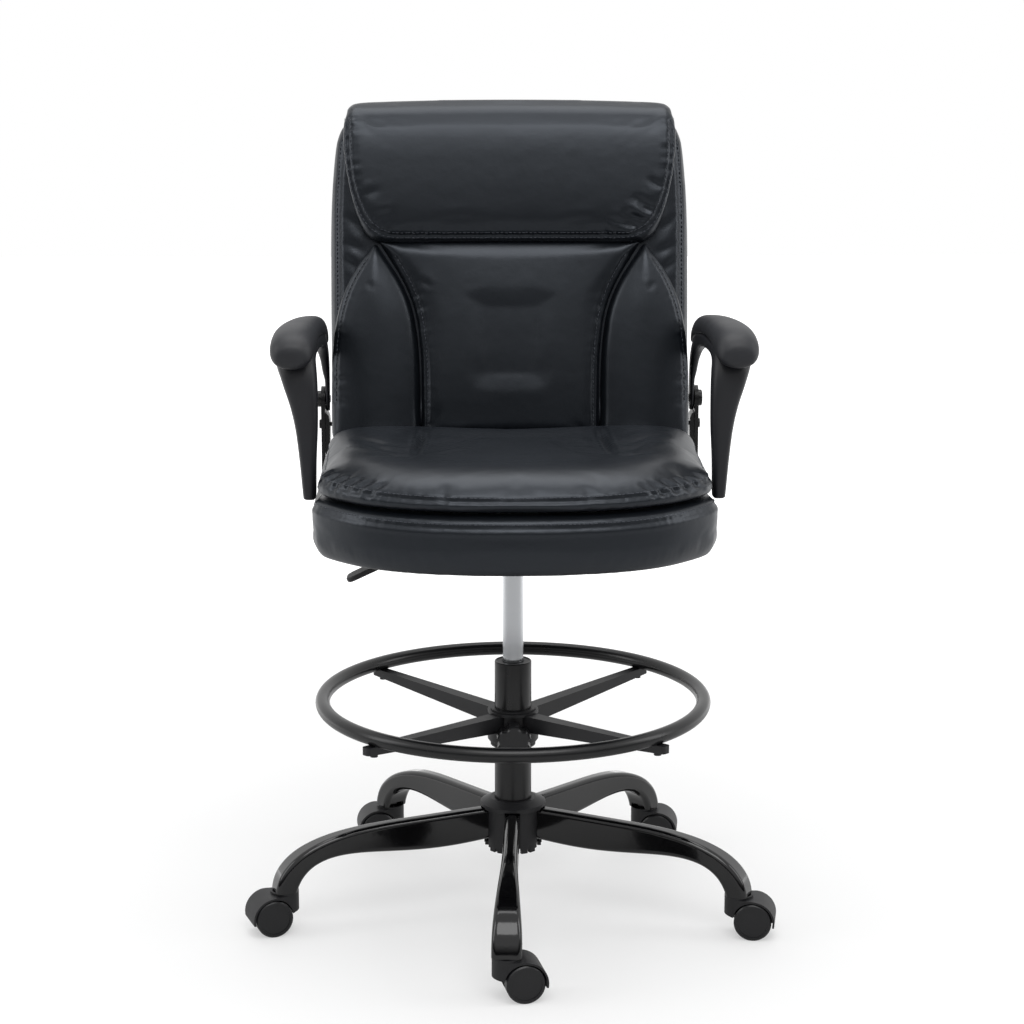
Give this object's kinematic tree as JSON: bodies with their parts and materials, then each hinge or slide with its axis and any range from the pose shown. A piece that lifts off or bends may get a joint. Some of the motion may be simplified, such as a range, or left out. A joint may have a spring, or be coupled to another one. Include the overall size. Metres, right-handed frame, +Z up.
{
  "type": "drafting chair",
  "caption": "Drafting chair: padded leather-look seat and back with flip-up arms on a gas lift, with an adjustable foot ring and a five-leg caster base.",
  "frame": {"origin": "on the floor on the column's axis", "axes": "+Z up along the column, the sitter faces -Y, +X is the sitter's left"},
  "size_m": [0.7149, 0.6671, 1.0907],
  "materials": {
    "gloss_black_steel": "gloss enamel",
    "satin_black_steel": "satin powder coat",
    "black_plastic": "matt moulded nylon",
    "nylon_wheel": "satin moulded nylon",
    "bright_steel": "ground and plated steel",
    "zinc_steel": "zinc plated",
    "black_bolt": "black oxide",
    "plywood": "raw plywood",
    "leather": "polyurethane leather, soft sheen",
    "arm_pad": "matt skinned foam",
    "arm_frame": "matt moulded"
  },
  "bodies": {
    "base": {"base_hub": "satin_black_steel", "leg_1": "gloss_black_steel", "leg_2": "gloss_black_steel", "leg_3": "gloss_black_steel", "leg_4": "gloss_black_steel", "leg_5": "gloss_black_steel", "hub_cover": "black_plastic", "column_tube": "satin_black_steel", "column_bush": "black_plastic"},
    "caster_1": {"caster_1_hood": "black_plastic", "caster_1_pins": "bright_steel"},
    "wheel_1_a": {"caster_1_wheel_a": "nylon_wheel"},
    "wheel_1_b": {"caster_1_wheel_b": "nylon_wheel"},
    "caster_2": {"caster_2_hood": "black_plastic", "caster_2_pins": "bright_steel"},
    "wheel_2_a": {"caster_2_wheel_a": "nylon_wheel"},
    "wheel_2_b": {"caster_2_wheel_b": "nylon_wheel"},
    "caster_3": {"caster_3_hood": "black_plastic", "caster_3_pins": "bright_steel"},
    "wheel_3_a": {"caster_3_wheel_a": "nylon_wheel"},
    "wheel_3_b": {"caster_3_wheel_b": "nylon_wheel"},
    "caster_4": {"caster_4_hood": "black_plastic", "caster_4_pins": "bright_steel"},
    "wheel_4_a": {"caster_4_wheel_a": "nylon_wheel"},
    "wheel_4_b": {"caster_4_wheel_b": "nylon_wheel"},
    "caster_5": {"caster_5_hood": "black_plastic", "caster_5_pins": "bright_steel"},
    "wheel_5_a": {"caster_5_wheel_a": "nylon_wheel"},
    "wheel_5_b": {"caster_5_wheel_b": "nylon_wheel"},
    "rod": {"piston_rod": "bright_steel", "thrust_bearing": "bright_steel"},
    "lift": {"gas_cylinder": "bright_steel", "mechanism_housing": "satin_black_steel", "tension_spring": "zinc_steel"},
    "valve": {"valve_button": "bright_steel"},
    "tension_knob": {"tension_knob": "black_plastic"},
    "lever_block": {"lever_block": "black_plastic"},
    "lever": {"lever_rod": "satin_black_steel", "lever_paddle": "black_plastic"},
    "seat": {"seat_plate": "satin_black_steel", "seat_pan": "plywood", "lower_cushion": "leather", "seat_pad": "leather", "seat_bolts": "zinc_steel", "back_cushion": "leather", "back_panel": "leather", "back_centre": "leather", "back_bolsters": "leather", "headrest": "leather", "side_brackets": "satin_black_steel", "arm_bolts": "black_bolt"},
    "arm_left": {"arm_frame_left": "arm_frame", "arm_pad_left": "arm_pad"},
    "arm_right": {"arm_frame_right": "arm_frame", "arm_pad_right": "arm_pad"},
    "ring_sleeve": {"ring_sleeve": "black_plastic"},
    "foot_ring": {"ring_hub": "black_plastic", "ring_tube": "satin_black_steel", "ring_screws": "zinc_steel"},
    "clamp_knob": {"clamp_knob": "black_plastic"}
  },
  "joints": [
    {"name": "caster_1_swivel", "type": "hinge", "parent": "base", "child": "caster_1", "pos_m": [-0.01452, -0.31967, 0.057], "axis": [0, 0, 1], "continuous": true},
    {"name": "wheel_1_a_roll", "type": "hinge", "parent": "caster_1", "child": "wheel_1_a", "pos_m": [0.00512, -0.31585, 0.025], "axis": [-0.1908, 0.9816, 0], "continuous": true},
    {"name": "wheel_1_b_roll", "type": "hinge", "parent": "caster_1", "child": "wheel_1_b", "pos_m": [0.00512, -0.31585, 0.025], "axis": [-0.1908, 0.9816, 0], "continuous": true},
    {"name": "caster_2_swivel", "type": "hinge", "parent": "base", "child": "caster_2", "pos_m": [0.29954, -0.11259, 0.057], "axis": [0, 0, 1], "continuous": true},
    {"name": "wheel_2_a_roll", "type": "hinge", "parent": "caster_2", "child": "wheel_2_a", "pos_m": [0.31923, -0.11606, 0.025], "axis": [0.1736, 0.9848, 0], "continuous": true},
    {"name": "wheel_2_b_roll", "type": "hinge", "parent": "caster_2", "child": "wheel_2_b", "pos_m": [0.31923, -0.11606, 0.025], "axis": [0.1736, 0.9848, 0], "continuous": true},
    {"name": "caster_3_swivel", "type": "hinge", "parent": "base", "child": "caster_3", "pos_m": [0.19964, 0.25009, 0.057], "axis": [0, 0, 1], "continuous": true},
    {"name": "wheel_3_a_roll", "type": "hinge", "parent": "caster_3", "child": "wheel_3_a", "pos_m": [0.21949, 0.24765, 0.025], "axis": [0.1219, 0.9925, 0], "continuous": true},
    {"name": "wheel_3_b_roll", "type": "hinge", "parent": "caster_3", "child": "wheel_3_b", "pos_m": [0.21949, 0.24765, 0.025], "axis": [0.1219, 0.9925, 0], "continuous": true},
    {"name": "caster_4_swivel", "type": "hinge", "parent": "base", "child": "caster_4", "pos_m": [-0.17615, 0.26715, 0.057], "axis": [0, 0, 1], "continuous": true},
    {"name": "wheel_4_a_roll", "type": "hinge", "parent": "caster_4", "child": "wheel_4_a", "pos_m": [-0.19601, 0.26471, 0.025], "axis": [0.1219, -0.9925, 0], "continuous": true},
    {"name": "wheel_4_b_roll", "type": "hinge", "parent": "caster_4", "child": "wheel_4_b", "pos_m": [-0.19601, 0.26471, 0.025], "axis": [0.1219, -0.9925, 0], "continuous": true},
    {"name": "caster_5_swivel", "type": "hinge", "parent": "base", "child": "caster_5", "pos_m": [-0.30851, -0.08498, 0.057], "axis": [0, 0, 1], "continuous": true},
    {"name": "wheel_5_a_roll", "type": "hinge", "parent": "caster_5", "child": "wheel_5_a", "pos_m": [-0.3273, -0.09182, 0.025], "axis": [0.342, -0.9397, 0], "continuous": true},
    {"name": "wheel_5_b_roll", "type": "hinge", "parent": "caster_5", "child": "wheel_5_b", "pos_m": [-0.3273, -0.09182, 0.025], "axis": [0.342, -0.9397, 0], "continuous": true},
    {"name": "swivel", "type": "hinge", "parent": "base", "child": "rod", "pos_m": [0, 0, 0.1], "axis": [0, 0, 1], "continuous": true},
    {"name": "lift", "type": "slide", "parent": "rod", "child": "lift", "axis": [0, 0, 1], "range_m": [-0.1, 0.1]},
    {"name": "lever_lift", "type": "hinge", "parent": "lift", "child": "lever_block", "pos_m": [-0.052, 0, 0.5063], "axis": [0, 1, 0], "range_deg": [0, 4], "stiffness_Nm_per_rad": 8, "springref_deg": -2.86},
    {"name": "tilt_lock", "type": "slide", "parent": "lever_block", "child": "lever", "axis": [-1, 0, 0], "range_m": [0, 0.012]},
    {"name": "valve", "type": "slide", "parent": "lift", "child": "valve", "axis": [0, 0, 1], "range_m": [-0.004, 0]},
    {"name": "seat_tilt", "type": "hinge", "parent": "lift", "child": "seat", "pos_m": [0, -0.06, 0.514], "axis": [-1, 0, 0], "range_deg": [0, 12], "stiffness_Nm_per_rad": 60, "springref_deg": -28.65, "deforming": ["tension_spring"]},
    {"name": "tension_screw", "type": "hinge", "parent": "seat", "child": "tension_knob", "pos_m": [0, -0.1, 0.5], "axis": [0, 0, 1], "range_deg": [-720, 720]},
    {"name": "arm_left_flip", "type": "hinge", "parent": "seat", "child": "arm_left", "pos_m": [0.257, 0.212, 0.676], "axis": [-1, 0, 0], "range_deg": [0, 100]},
    {"name": "arm_right_flip", "type": "hinge", "parent": "seat", "child": "arm_right", "pos_m": [-0.257, 0.212, 0.676], "axis": [-1, 0, 0], "range_deg": [0, 100]},
    {"name": "ring_height", "type": "slide", "parent": "base", "child": "ring_sleeve", "axis": [0, 0, 1], "range_m": [-0.06, 0.05]},
    {"name": "ring_turn", "type": "hinge", "parent": "ring_sleeve", "child": "foot_ring", "pos_m": [0, 0, 0.26], "axis": [0, 0, 1], "continuous": true},
    {"name": "clamp", "type": "hinge", "parent": "foot_ring", "child": "clamp_knob", "pos_m": [0, -0.045, 0.252], "axis": [0, 1, 0], "range_deg": [-360, 360]}
  ],
  "couplings": [
    {"joint": "valve", "follows": "lever_lift", "m_per_rad": -0.056}
  ]
}
